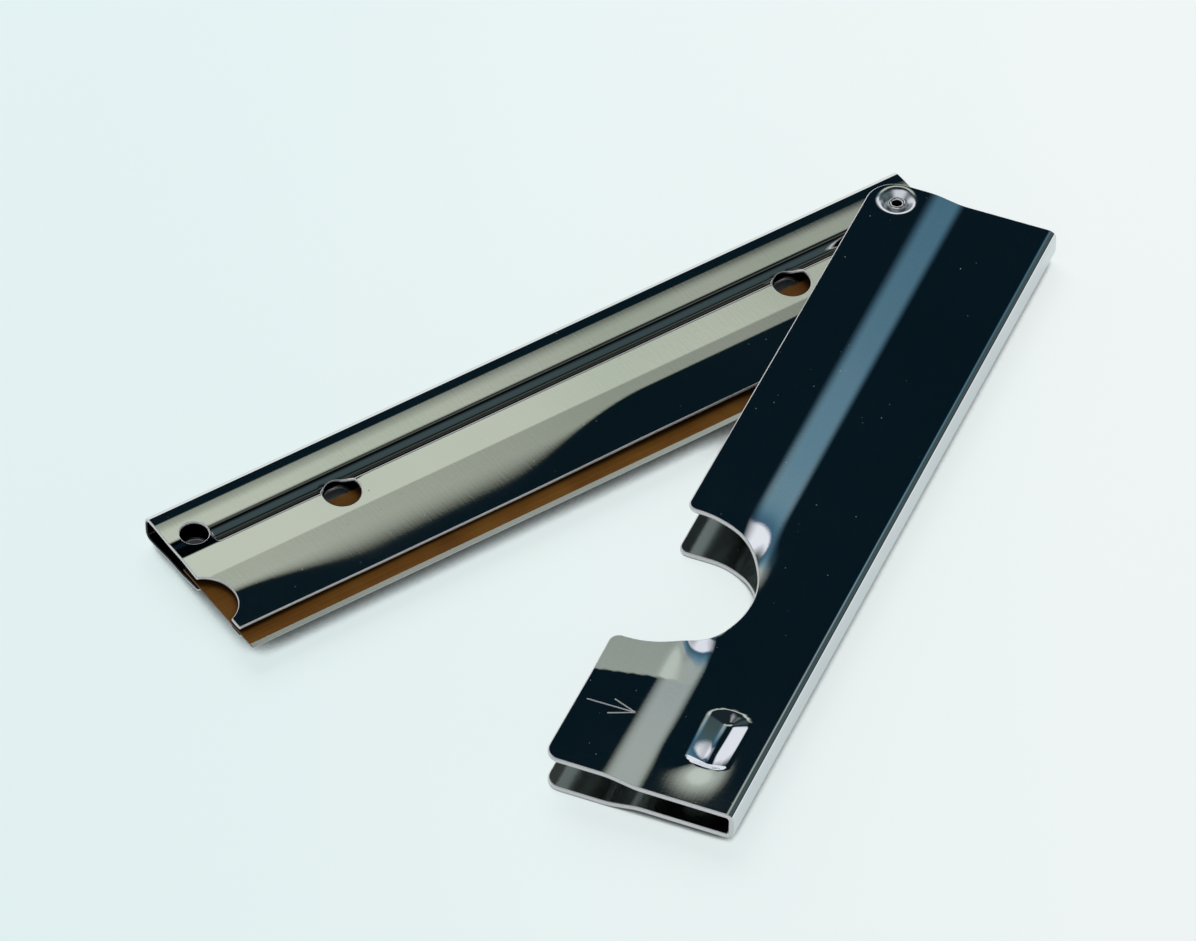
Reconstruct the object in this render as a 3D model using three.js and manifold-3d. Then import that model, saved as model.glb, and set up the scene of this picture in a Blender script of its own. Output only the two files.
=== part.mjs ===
import * as THREE from 'three';
import { mergeVertices } from 'three/addons/utils/BufferGeometryUtils.js';
import Module from 'manifold-3d';

const wasm = await Module();
wasm.setup();

// Folding window scraper: a sheet steel cover that is guard and handle, and a blade holder that swings
// out of its open edge on a hollow rivet. All sizes are millimetres. While the pieces are shaped the
// hinge axis is X = 0, Y = 0. X runs toward the free end of the closed tool, Y toward the closed spine
// of the cover, and Z = 0 is half way through the thickness.

// Pose at rest, degrees from closed
const OPEN_ANGLE = 33.5;

// Blade, a plain strip ground along one side
const BLADE_LENGTH = 100;
const BLADE_WIDTH = 14.2;
const BLADE_THICKNESS = 0.25;
const GROUND_WIDTH = 0.6;
const EDGE_LAND = 0.04;

// Blade holder, alike at both ends
const HOLDER_SHEET = 0.45;
const HOLDER_HEIGHT = 3.2;
const HOLDER_BACK = 5.15;
const HOLDER_FOLD = 1;
const PIVOT_INSET = 3.25;
const PIVOT_HOLE = 3.2;
const BAND_FALL = 0.28;
const GROOVE_OFFSET = 1.05;
const GROOVE_WIDTH = 2.7;
const GROOVE_FLOOR = 0.7;
const GROOVE_SHOULDER = 0.6;
const GROOVE_ROOT = 0.3;
const BEVEL_WIDTH = 5.9;
const BEVEL_KINK = 3.8;
const BEVEL_SPLIT = 0.74;
const BEVEL_BLEND = 5;
const LIP_RISE = 0.07;
const BLADE_SETBACK = 0.55;
const BLADE_OVERHANG = 2.75;
const SIGHT_HOLE = 4.4;
const SIGHT_INSET = 20.1;
const SIGHT_OFFSET = 3.3;
const END_NOTCH_RADIUS = 3.75;
const END_NOTCH_DEPTH = 2.4;
const END_NOTCH_OFFSET = 9.2;

// Cover, one folded sheet
const COVER_SHEET = 0.6;
const COVER_LENGTH = 97.6;
const COVER_END = 2.75;
const COVER_OPEN_EDGE = 3.45;
const COVER_SPINE_HEIGHT = 3.6;
const SPINE_FOLD = 0.9;
const JOGGLE_START = 4.3;
const JOGGLE_WIDTH = 2.9;
const JOGGLE_BLEND = 5;
const PIVOT_CORNER = 3.4;
const FREE_CORNER = 1.8;

// Finger notch in the open edge, wider in the upper wall than in the lower one
const NOTCH_CENTRE = 65.1;
const NOTCH_DEPTH = 11.75;
const NOTCH_UPPER_RADIUS = 10.35;
const NOTCH_LOWER_RADIUS = 7.8;
const NOTCH_LIP = 1.2;

// Dimple of the cover that carries the rivet and stands into the pivot hole of the holder
const DIMPLE_DIAMETER = 4.1;
const DIMPLE_DEPTH = 0.85;
const DIMPLE_FLOOR = 2.5;
const DIMPLE_SHEET = 0.5;
const DIMPLE_EDGE = 0.3;

// Pressed grip near the free end of the cover that pinches the folded holder
const GRIP_INSET = 9.95;
const GRIP_OFFSET = 12.6;
const GRIP_LENGTH = 8.6;
const GRIP_WIDTH = 4.8;
const GRIP_DEPTH = 0.45;

// Hollow rivet with a rolled rim at each end
const RIVET_SHANK = 1.6;
const RIVET_BORE = 1.1;
const RIVET_ROLL = 0.6;

// Fits between the pieces
const BLADE_FIT = 0.05;
const RIB_GAP = 0.1;
const SIDE_CLEARANCE = 0.25;
const SWING_CLEARANCE = 0.25;
const NOSE_FIT = 0.08;
const RIVET_FIT = 0.05;
const SEAT_GAP = 0.02;

// Smoothness of curves
const ARC_STEP = 9;
const TURN_STEPS = 36;
const PRESS_STEPS = 72;
const WELD = 1e-4;

// Places that follow from the sizes above
const holderStart = -PIVOT_INSET;
const holderEnd = BLADE_LENGTH - PIVOT_INSET;
const holderTop = HOLDER_HEIGHT / 2;
const bandTop = holderTop - BAND_FALL;
const grooveNear = GROOVE_OFFSET - GROOVE_WIDTH / 2;
const grooveFar = GROOVE_OFFSET + GROOVE_WIDTH / 2;
const grooveTop = RIB_GAP / 2 + HOLDER_SHEET;
const bladeBack = grooveFar + BLADE_SETBACK;
const bladeEdge = bladeBack + BLADE_WIDTH;
const lipEnd = bladeEdge - BLADE_OVERHANG;
const lipTop = BLADE_THICKNESS / 2 + BLADE_FIT + HOLDER_SHEET;
const coverInside = holderTop + SIDE_CLEARANCE;
const coverTop = coverInside + COVER_SHEET;
const coverFree = COVER_LENGTH - COVER_END;
const spineInside = Math.hypot(PIVOT_INSET, bladeEdge) + SWING_CLEARANCE;
const spineOutside = spineInside + COVER_SHEET;
const spineTop = COVER_SPINE_HEIGHT / 2;
const dimpleSeat = coverTop - DIMPLE_DEPTH;
const dimpleTip = dimpleSeat - DIMPLE_SHEET;
const noseRadius = PIVOT_HOLE / 2 - NOSE_FIT;

// Length of a cut that reaches past every piece
const reach = COVER_LENGTH;

// Line through the corners, each rounded to its own radius, as a list of points
function roundedLine(corners) {
  const line = [];
  corners.forEach(([x, y, radius], i) => {
    const here = new THREE.Vector2(x, y);
    if (!radius) {
      line.push(here);
      return;
    }
    const back = new THREE.Vector2(...corners[i - 1]).sub(here).normalize();
    const on = new THREE.Vector2(...corners[i + 1]).sub(here).normalize();
    const half = Math.acos(back.dot(on)) / 2;
    const turn = Math.sign(on.cross(back)) * (Math.PI - 2 * half);
    const centre = back.clone().add(on).setLength(radius / Math.sin(half)).add(here);
    const first = back.clone().multiplyScalar(radius / Math.tan(half)).add(here);
    const steps = Math.ceil(THREE.MathUtils.radToDeg(Math.abs(turn)) / ARC_STEP);
    for (let k = 0; k <= steps; k += 1) {
      line.push(first.clone().rotateAround(centre, turn * k / steps));
    }
  });
  return line;
}

// Section of a bent sheet: its outer face, and the inner face one thickness to the right of it
function sheetSection(outer, thickness) {
  const inner = outer.map((point, i) => {
    const before = outer[i - 1] ?? point;
    const after = outer[i + 1] ?? point;
    const arriving = point.clone().sub(before).normalize();
    const leaving = after.clone().sub(point).normalize();
    const along = arriving.clone().add(leaving).normalize();
    const side = new THREE.Vector2(along.y, -along.x);
    const stretch = arriving.length() && leaving.length() ? arriving.dot(along) : 1;
    return side.multiplyScalar(thickness / stretch).add(point);
  });
  return new THREE.Shape([...outer, ...inner.reverse()]);
}

// One half of a folded section continued by its mirror image, from one free edge to the other
function foldedLine(half) {
  const mirrored = half.map(([y, z, radius]) => [y, -z, radius]).reverse();
  return roundedLine([...half, ...mirrored]);
}

// Closed geometry as a solid for cutting and joining, without its collapsed triangles
function solid(geometry) {
  geometry.deleteAttribute('normal');
  geometry.deleteAttribute('uv');
  const welded = mergeVertices(geometry, WELD);
  const corners = [];
  for (let i = 0; i < welded.index.count; i += 3) {
    const triangle = [i, i + 1, i + 2].map((k) => welded.index.getX(k));
    if (new Set(triangle).size === triangle.length) {
      corners.push(...triangle);
    }
  }
  const vertProperties = welded.attributes.position.array;
  return new wasm.Manifold(new wasm.Mesh({ numProp: 3, vertProperties, triVerts: new Uint32Array(corners) }));
}

// Section drawn in Y and Z, pushed along X
function alongX(shape, from, to) {
  const geometry = new THREE.ExtrudeGeometry(shape, { depth: to - from, bevelEnabled: false });
  const axes = [[0, 1, 0], [0, 0, 1], [1, 0, 0]].map((axis) => new THREE.Vector3(...axis));
  geometry.applyMatrix4(new THREE.Matrix4().makeBasis(...axes));
  return solid(geometry.translate(from, 0, 0));
}

// Plan outline drawn in X and Y, pushed along Z
function alongZ(shape, from, to) {
  const options = { depth: to - from, bevelEnabled: false, curveSegments: TURN_STEPS };
  return solid(new THREE.ExtrudeGeometry(shape, options).translate(0, 0, from));
}

// Closed profile of radius and height, turned about Z
function turned(profile) {
  const loop = [...profile, profile[0]].map(([radius, z]) => new THREE.Vector2(radius, z));
  return solid(new THREE.LatheGeometry(loop, TURN_STEPS).rotateX(Math.PI / 2));
}

function roundHole(diameter, x, y) {
  return alongZ(new THREE.Shape().absarc(x, y, diameter / 2, 0, 2 * Math.PI), -reach, reach);
}

// The same feature in the upper and in the lower wall
function inBothWalls(feature) {
  return feature.add(feature.mirror([0, 0, 1]));
}

function steelMesh(name, piece, color, roughness) {
  const { vertProperties, triVerts } = piece.getMesh();
  const geometry = new THREE.BufferGeometry();
  geometry.setAttribute('position', new THREE.BufferAttribute(vertProperties, 3));
  geometry.setIndex(new THREE.BufferAttribute(triVerts, 1));
  const faceted = geometry.toNonIndexed();
  faceted.computeVertexNormals();
  const mesh = new THREE.Mesh(faceted, new THREE.MeshStandardMaterial({ color, roughness, metalness: 1 }));
  mesh.name = name;
  return mesh;
}

// Channel of the cover: two walls joined by the spine that step apart toward the open edge
function channel() {
  const line = foldedLine([
    [-COVER_OPEN_EDGE, coverTop, 0],
    [JOGGLE_START, coverTop, JOGGLE_BLEND],
    [JOGGLE_START + JOGGLE_WIDTH, spineTop, JOGGLE_BLEND],
    [spineOutside, spineTop, SPINE_FOLD],
  ]);
  return alongX(sheetSection(line, COVER_SHEET), -COVER_END, coverFree);
}

// Finger notch: a round bottom and straight sides that roll out into the open edge
function fingerNotch(radius) {
  const edge = -COVER_OPEN_EDGE;
  const middle = edge + NOTCH_DEPTH - radius;
  const left = NOTCH_CENTRE - radius;
  const right = NOTCH_CENTRE + radius;
  const shape = new THREE.Shape();
  shape.moveTo(left - NOTCH_LIP, edge - reach);
  shape.lineTo(left - NOTCH_LIP, edge);
  shape.absarc(left - NOTCH_LIP, edge + NOTCH_LIP, NOTCH_LIP, -Math.PI / 2, 0);
  shape.lineTo(left, middle);
  shape.absarc(NOTCH_CENTRE, middle, radius, Math.PI, 0, true);
  shape.lineTo(right, edge + NOTCH_LIP);
  shape.absarc(right + NOTCH_LIP, edge + NOTCH_LIP, NOTCH_LIP, Math.PI, 1.5 * Math.PI);
  shape.lineTo(right + NOTCH_LIP, edge - reach);
  return shape;
}

// What a rounded corner of the open edge leaves outside it, at the end of the cover that lies at x
function cornerWaste(x, radius, outward) {
  const edge = -COVER_OPEN_EDGE;
  const centre = x - outward * radius;
  const shape = new THREE.Shape();
  shape.moveTo(x, edge + radius);
  shape.absarc(centre, edge + radius, radius, outward > 0 ? 0 : Math.PI, 1.5 * Math.PI, outward > 0);
  shape.lineTo(centre, edge - reach);
  shape.lineTo(x + outward * reach, edge - reach);
  shape.lineTo(x + outward * reach, edge + radius);
  return alongZ(shape, -reach, reach);
}

// Cup of the dimple below the wall: a cone down to a nose that turns in the pivot hole
function dimpleCup() {
  const root = coverInside + COVER_SHEET / 2;
  return turned([
    [0, root],
    [0, dimpleTip],
    [noseRadius - DIMPLE_EDGE, dimpleTip],
    [noseRadius, dimpleTip + DIMPLE_EDGE],
    [noseRadius, holderTop],
    [DIMPLE_DIAMETER / 2, coverInside],
    [DIMPLE_DIAMETER / 2, root],
  ]);
}

// Hollow of the dimple as seen from outside, with an eased rim
function dimpleHollow() {
  const rim = DIMPLE_DIAMETER / 2;
  return turned([
    [0, coverTop + reach],
    [0, dimpleSeat],
    [DIMPLE_FLOOR / 2, dimpleSeat],
    [rim - DIMPLE_EDGE, coverTop - DIMPLE_EDGE / 2],
    [rim + DIMPLE_EDGE / 2, coverTop],
    [rim + DIMPLE_EDGE / 2, coverTop + reach],
  ]);
}

// Round-ended bar lying along X over the grip, at the radius of one face of the pressed wall
function gripBar(extra) {
  const radius = (GRIP_WIDTH ** 2 / 4 + GRIP_DEPTH ** 2) / (2 * GRIP_DEPTH);
  const straight = GRIP_LENGTH - GRIP_WIDTH;
  const bar = new THREE.CapsuleGeometry(radius + extra, straight, PRESS_STEPS / 4, PRESS_STEPS);
  bar.rotateZ(Math.PI / 2);
  return solid(bar.translate(coverFree - GRIP_INSET, GRIP_OFFSET, spineTop + radius - GRIP_DEPTH));
}

// Material that the grip moves to the inside of the wall
function gripBoss() {
  const below = new THREE.BoxGeometry(reach, reach, reach);
  below.translate(coverFree - GRIP_INSET, GRIP_OFFSET, spineTop - COVER_SHEET / 2 - reach / 2);
  return gripBar(COVER_SHEET).intersect(solid(below));
}

function cover() {
  return channel()
    .add(inBothWalls(dimpleCup()))
    .add(inBothWalls(gripBoss()))
    .subtract(inBothWalls(dimpleHollow()))
    .subtract(inBothWalls(gripBar(0)))
    .subtract(roundHole(RIVET_SHANK + 2 * RIVET_FIT, 0, 0))
    .subtract(alongZ(fingerNotch(NOTCH_UPPER_RADIUS), 0, reach))
    .subtract(alongZ(fingerNotch(NOTCH_LOWER_RADIUS), -reach, 0))
    .subtract(cornerWaste(-COVER_END, PIVOT_CORNER, -1))
    .subtract(cornerWaste(coverFree, FREE_CORNER, 1));
}

// Section of the holder from one lip round its back to the other, with or without the groove
function holderSection(grooved) {
  const groove = [
    [GROOVE_OFFSET + GROOVE_FLOOR / 2, -grooveTop, GROOVE_ROOT],
    [GROOVE_OFFSET - GROOVE_FLOOR / 2, -grooveTop, GROOVE_ROOT],
  ];
  const lipRoot = lipTop + LIP_RISE;
  const kinkTop = THREE.MathUtils.lerp(bandTop, lipRoot, BEVEL_SPLIT);
  const line = foldedLine([
    [lipEnd, -lipTop, 0],
    [grooveFar + BEVEL_WIDTH, -lipRoot, BEVEL_BLEND],
    [grooveFar + BEVEL_KINK, -kinkTop, BEVEL_BLEND],
    [grooveFar, -bandTop, GROOVE_SHOULDER],
    ...(grooved ? groove : []),
    [grooveNear, -bandTop, GROOVE_SHOULDER],
    [-HOLDER_BACK, -holderTop, HOLDER_FOLD],
  ]);
  return sheetSection(line, HOLDER_SHEET);
}

// Half-round bite in the end of the holder where the blade can be gripped
function endNotch(end, outward) {
  const centre = end + outward * (END_NOTCH_RADIUS - END_NOTCH_DEPTH);
  return roundHole(2 * END_NOTCH_RADIUS, centre, END_NOTCH_OFFSET);
}

function bladeHolder() {
  const spare = holderEnd - PIVOT_INSET;
  return alongX(holderSection(false), holderStart, 0)
    .add(alongX(holderSection(true), 0, spare))
    .add(alongX(holderSection(false), spare, holderEnd))
    .subtract(roundHole(PIVOT_HOLE, 0, 0))
    .subtract(roundHole(PIVOT_HOLE, spare, 0))
    .subtract(roundHole(SIGHT_HOLE, holderStart + SIGHT_INSET, SIGHT_OFFSET))
    .subtract(roundHole(SIGHT_HOLE, holderEnd - SIGHT_INSET, SIGHT_OFFSET))
    .subtract(endNotch(holderStart, -1))
    .subtract(endNotch(holderEnd, 1));
}

function blade() {
  const half = BLADE_THICKNESS / 2;
  const shape = new THREE.Shape();
  shape.moveTo(bladeBack, -half);
  shape.lineTo(bladeEdge - GROUND_WIDTH, -half);
  shape.lineTo(bladeEdge, -EDGE_LAND / 2);
  shape.lineTo(bladeEdge, EDGE_LAND / 2);
  shape.lineTo(bladeEdge - GROUND_WIDTH, half);
  shape.lineTo(bladeBack, half);
  return alongX(shape, holderStart, holderEnd);
}

// Tube through both dimples whose ends are rolled outward onto the dimple floors
function pivotRivet() {
  const roll = RIVET_ROLL / 2;
  const middle = RIVET_BORE / 2 + roll;
  const seat = dimpleSeat + SEAT_GAP;
  const rim = [];
  for (let angle = -90; angle <= 180; angle += 2 * ARC_STEP) {
    const radians = THREE.MathUtils.degToRad(angle);
    rim.push([middle + roll * Math.cos(radians), seat + roll + roll * Math.sin(radians)]);
  }
  const upper = [[RIVET_SHANK / 2, seat], ...rim];
  const lower = upper.map(([radius, z]) => [radius, -z]).reverse();
  return turned([...upper, ...lower]);
}

const arm = new THREE.Group();
arm.name = 'arm';
arm.rotation.z = -THREE.MathUtils.degToRad(OPEN_ANGLE);
arm.add(steelMesh('blade_holder', bladeHolder(), 0xb4beaf, 0.22));
arm.add(steelMesh('blade', blade(), 0x6a4419, 0.35));

const tool = new THREE.Group();
tool.name = 'window_scraper';
tool.add(steelMesh('cover', cover(), 0x9aa6a8, 0.12));
tool.add(steelMesh('pivot_rivet', pivotRivet(), 0xc8ccd0, 0.25));
tool.add(arm);

// The tool lies on Z = 0 with the middle of its outline over the origin
const extent = new THREE.Box3().setFromObject(tool, true);
const middle = extent.getCenter(new THREE.Vector3());
tool.position.set(-middle.x, -middle.y, -extent.min.z);

export default tool;
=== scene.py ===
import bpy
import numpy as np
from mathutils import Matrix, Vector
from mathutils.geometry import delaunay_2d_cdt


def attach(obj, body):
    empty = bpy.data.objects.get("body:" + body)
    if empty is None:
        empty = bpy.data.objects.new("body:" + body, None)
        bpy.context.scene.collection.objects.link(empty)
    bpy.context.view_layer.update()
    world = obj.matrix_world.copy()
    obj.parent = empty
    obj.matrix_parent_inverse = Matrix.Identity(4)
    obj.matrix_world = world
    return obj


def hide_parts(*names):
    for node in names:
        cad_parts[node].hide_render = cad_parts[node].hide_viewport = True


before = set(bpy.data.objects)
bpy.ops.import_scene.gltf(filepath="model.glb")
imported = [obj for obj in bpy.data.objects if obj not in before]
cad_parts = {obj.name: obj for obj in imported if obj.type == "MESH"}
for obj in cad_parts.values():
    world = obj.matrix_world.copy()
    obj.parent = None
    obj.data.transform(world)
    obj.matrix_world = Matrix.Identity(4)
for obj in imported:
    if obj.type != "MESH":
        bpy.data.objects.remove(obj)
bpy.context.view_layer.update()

# %% [markdown]
# The object is a folding window scraper of plated sheet steel. A pressed channel is cover and handle, and
# a folded holder with a long blade swings out of its open edge on a hollow rivet. The solids of the frame
# have flat facets, which a mirror finish would show. So each piece is worked out again here as a smooth
# surface, in the same place and to the same sizes, and the facets stay hidden behind it.

MM = 0.001
PIVOT = np.array([-44.6487, 19.6946, 2.45])
OPEN_ANGLE = 33.5


def in_frame(x, y, z, turn=0.0):
    """Millimetres from the rivet, turned clockwise about it by so many degrees, as metres of the frame."""
    a = np.radians(-turn)
    turned = np.stack([x * np.cos(a) - y * np.sin(a), x * np.sin(a) + y * np.cos(a), z], -1)
    return (turned + PIVOT) * MM


# %% [markdown]
# Sheet metal is drawn with straight runs and rounded corners. One small function gives both: a bend is
# flat before its corner and rises one for one after it. A section is then a sum of bends, each with the
# change of slope at its corner, and it can be asked for at any point without storing a list of points.

# %% Bends, arcs and divided paths


def ease(x, start, end):
    """Smoothstep: 0 at start and 1 at end, level on both sides."""
    t = np.clip((x - start) / (end - start), 0, 1)
    return t * t * (3 - 2 * t)


def bend(x, corner, width):
    """Integral of a smoothstep: 0 before the corner, x minus corner after it, rounded over the width."""
    t = np.clip((x - corner) / width + 0.5, 0, 1)
    return width * (t**3 - t**4 / 2) + np.maximum(x - corner - width / 2, 0)


def bell(x, y, height, centre, reach):
    """Height over the centre, falling as exp of minus half the squared distance in units of the reach."""
    return height * np.exp(-0.5 * (((x - centre[0]) / reach[0]) ** 2 + ((y - centre[1]) / reach[1]) ** 2))


def arc(centre, radius, first, last, points=24):
    """Points on a circle between two angles in degrees, as rows of x and y."""
    a = np.radians(np.linspace(first, last, points))
    return np.stack([centre[0] + radius * np.cos(a), centre[1] + radius * np.sin(a)], 1)


def divided(path, step):
    """The same path with more points on it, none further apart than the step."""
    run = np.concatenate([[0], np.cumsum(np.hypot(*np.diff(path, axis=0).T))])
    stops = np.union1d(run, np.arange(0, run[-1], step))
    return np.stack([np.interp(stops, run, path[:, k]) for k in (0, 1)], 1)


def lines(*stretches):
    """Grid lines for stretches of start, end and spacing, joined and without doubles."""
    return np.unique(np.concatenate([np.arange(a, b, s) for a, b, s in stretches]))


# %% [markdown]
# The cover and the holder are each cut as a flat blank and then pressed and folded, so they are made that
# way here. The blank is a flat outline with holes, filled with triangles by a constrained triangulation.
# A placing function then carries every flat point to the outer and to the inner face of the bent sheet.
# A rim joins the two faces. The normals come from the placing function too, so that reflections run
# smoothly whatever the triangles look like.

# %% From flat blank to bent sheet
STEP_FOR_SLOPE = 0.002
RIM_ROWS = 8
RIM_BULGE = 0.6
HOLE_EDGE = 0.999


def blank(borders, inside):
    """Triangles of a flat sheet inside its outline, the first border, and outside its holes, the rest."""
    sizes = [len(b) for b in borders]
    starts = np.cumsum([0] + sizes[:-1])
    edges = [np.stack([s + np.arange(n), s + (np.arange(n) + 1) % n], 1) for s, n in zip(starts, sizes)]
    points = np.concatenate([*borders, inside])
    cut = delaunay_2d_cdt(points.tolist(), np.concatenate(edges).tolist(), [], 1, 1e-4)
    corners, triangles = np.array(cut[0]), np.array(cut[2])
    middles = corners[triangles].mean(1)
    for hole in borders[1:]:
        centre = hole.mean(0)
        outside = np.linalg.norm(middles - centre, axis=1) > np.linalg.norm(hole[0] - centre) * HOLE_EDGE
        triangles, middles = triangles[outside], middles[outside]
    used, triangles = np.unique(triangles, return_inverse=True)
    triangles = triangles.reshape(-1, 3)
    flat = corners[used]
    a, b, c = flat[triangles[:, 0]], flat[triangles[:, 1]], flat[triangles[:, 2]]
    area = np.cross(b - a, c - a)
    triangles[area < 0] = triangles[area < 0][:, ::-1]
    return flat, triangles[np.abs(area) > 1e-9]


def unit(vectors):
    """Vectors divided by their own lengths."""
    return vectors / np.maximum(np.linalg.norm(vectors, axis=-1, keepdims=True), 1e-12)


def slopes_cross(place, flat, face):
    """Normal of a placed face: the cross product of its slopes along the two directions of the blank."""
    along = np.array([STEP_FOR_SLOPE, 0])
    across = np.array([0, STEP_FOR_SLOPE])
    du = place(flat + along, face) - place(flat - along, face)
    dv = place(flat + across, face) - place(flat - across, face)
    return unit(np.cross(du, dv))


def shaded_mesh(name, points, triangles, corner_normals, finish_of, finishes):
    """Object from points and triangles, with a normal for each corner and a finish for each triangle."""
    mesh = bpy.data.meshes.new(name)
    mesh.from_pydata(points.tolist(), [], triangles.tolist())
    mesh.polygons.foreach_set("use_smooth", np.ones(len(triangles), bool))
    mesh.polygons.foreach_set("material_index", finish_of.astype(np.int32))
    mesh.normals_split_custom_set(corner_normals.reshape(-1, 3).tolist())
    for finish in finishes:
        mesh.materials.append(finish)
    piece = bpy.data.objects.new(name, mesh)
    bpy.context.scene.collection.objects.link(piece)
    print(name, "has", len(triangles), "triangles")
    return piece


def bent_sheet(name, place, flat, triangles, finishes):
    """Closed sheet: outer face, inner face turned over, and round every border a rim of half an ellipse.

    The four finishes are for the outer face, the inner face and the outer and the inner half of the rim.

    The rim runs from the outer to the inner face: middle plus half the thickness times the cosine, plus the
    bulge times the sine in the direction out of the sheet.
    """
    n = len(flat)
    sides = triangles[:, [0, 1, 1, 2, 2, 0]].reshape(-1, 2)
    _, where, count = np.unique(np.sort(sides, 1) @ [n, 1], return_index=True, return_counts=True)
    a, b = sides[where[count == 1]].T
    outer_points, inner_points = place(flat, 0), place(flat, 1)
    outer, inner = slopes_cross(place, flat, 0), slopes_cross(place, flat, 1)
    out = np.zeros((n, 3))
    sideways = unit(np.cross(outer_points[b] - outer_points[a], outer[a] + outer[b]))
    np.add.at(out, a, sideways)
    np.add.at(out, b, sideways)
    border = np.unique(a)
    out = unit(out[border])
    middle = (outer_points[border] + inner_points[border]) / 2
    half = (outer_points[border] - inner_points[border]) / 2
    size = np.linalg.norm(half, axis=1, keepdims=True)
    phi = np.linspace(0, np.pi, RIM_ROWS)[:, None, None]
    rows = middle + half * np.cos(phi) + out * size * RIM_BULGE * np.sin(phi)
    row_normals = unit(half / size * np.cos(phi) + out / RIM_BULGE * np.sin(phi))
    order = np.zeros(n, int)
    order[border] = np.arange(len(border))
    index = 2 * n + np.arange(RIM_ROWS)[:, None] * len(border) + np.arange(len(border))
    index[0], index[-1] = border, border + n
    a, b = order[a], order[b]
    rim = np.concatenate([np.stack([index[:-1, b], index[:-1, a], index[1:, a]], -1).reshape(-1, 3),
                          np.stack([index[:-1, b], index[1:, a], index[1:, b]], -1).reshape(-1, 3)])
    rim_normals = np.concatenate(
        [np.stack([row_normals[:-1, b], row_normals[:-1, a], row_normals[1:, a]], 2).reshape(-1, 3, 3),
         np.stack([row_normals[:-1, b], row_normals[1:, a], row_normals[1:, b]], 2).reshape(-1, 3, 3)])
    under = triangles[:, ::-1]
    points = np.concatenate([outer_points, inner_points, rows.reshape(-1, 3)])
    normals = np.concatenate([outer[triangles], -inner[under], rim_normals])
    faces = np.concatenate([triangles, under + n, rim])
    rim_half = np.repeat(np.where(np.arange(RIM_ROWS - 1) < RIM_ROWS // 2, 2, 3), len(a))
    finish_of = np.concatenate([np.repeat([0, 1], len(triangles)), rim_half, rim_half])
    return shaded_mesh(name, points, faces, normals, finish_of, finishes)


# %% [markdown]
# Bright nickel plate is a mirror with small faults: fine polishing lines, a light grain, dull patches and
# specks of dust. None of these has a colour of its own, so they go into roughness and bump, and the tint
# only drifts a little. The patterns are read in Object coordinates, which stay with the piece as it moves.

# %% A helper for node materials


def add(tree, kind, inputs=None, **settings):
    """New node of a kind, with settings, and with inputs given as sockets to link or values to set."""
    made = tree.nodes.new(kind)
    for key, value in settings.items():
        setattr(made, key, value)
    for key, value in (inputs or {}).items():
        if isinstance(value, bpy.types.NodeSocket):
            tree.links.new(value, made.inputs[key])
        else:
            made.inputs[key].default_value = value
    return made


def ramp(tree, factor, stops):
    """Colour ramp node with stops of position and colour."""
    made = add(tree, "ShaderNodeValToRGB", {"Fac": factor})
    band = made.color_ramp
    while len(band.elements) < len(stops):
        band.elements.new(0.5)
    for element, (position, colour) in zip(band.elements, stops):
        element.position = position
        element.color = (*colour, 1)
    return made.outputs["Color"]


def scaled(tree, value, factor, offset):
    """Value times factor plus offset."""
    made = add(tree, "ShaderNodeMath", {0: value, 1: factor, 2: offset}, operation="MULTIPLY_ADD")
    return made.outputs[0]


def noise(tree, coordinates, scale, detail):
    """Noise pattern of so many features to the metre."""
    made = add(tree, "ShaderNodeTexNoise", {"Vector": coordinates, "Scale": scale, "Detail": detail})
    return made.outputs["Fac"]


# %% Plated steel
WHITE = (1, 1, 1)
BLACK = (0, 0, 0)


def plated_steel(name, pale, deep, shine, lines_along, line_turn, grain_depth):
    """Mirror plate: drifting tint, roughness from dull patches and specks, bump from grain and lines."""
    finish = bpy.data.materials.new(name)
    finish.use_nodes = True
    tree = finish.node_tree
    shader = tree.nodes["Principled BSDF"]
    place = add(tree, "ShaderNodeTexCoord").outputs["Object"]
    drift = noise(tree, place, 45, 3)
    grain = noise(tree, place, 3200, 2)
    specks = ramp(tree, noise(tree, place, 2600, 1), [(0.78, BLACK), (0.82, WHITE)])
    turned = add(tree, "ShaderNodeMapping", {"Vector": place, "Rotation": (0, 0, np.radians(line_turn))})
    drawn = add(tree, "ShaderNodeMapping", {"Vector": turned.outputs[0], "Scale": lines_along})
    polish = noise(tree, drawn.outputs[0], 1, 4)
    tint = ramp(tree, drift, [(0.3, deep), (0.7, pale)])
    dull = add(tree, "ShaderNodeMath", {0: specks, 1: 0.35, 2: scaled(tree, drift, 0.07, shine)},
               operation="MULTIPLY_ADD")
    height = add(tree, "ShaderNodeMath", {0: grain, 1: 0.5, 2: polish}, operation="MULTIPLY_ADD")
    bump = add(tree, "ShaderNodeBump", {"Height": height.outputs[0], "Strength": 0.25,
                                        "Distance": grain_depth})
    tree.links.new(tint, shader.inputs["Base Color"])
    tree.links.new(dull.outputs[0], shader.inputs["Roughness"])
    tree.links.new(bump.outputs[0], shader.inputs["Normal"])
    shader.inputs["Metallic"].default_value = 1
    return finish


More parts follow.
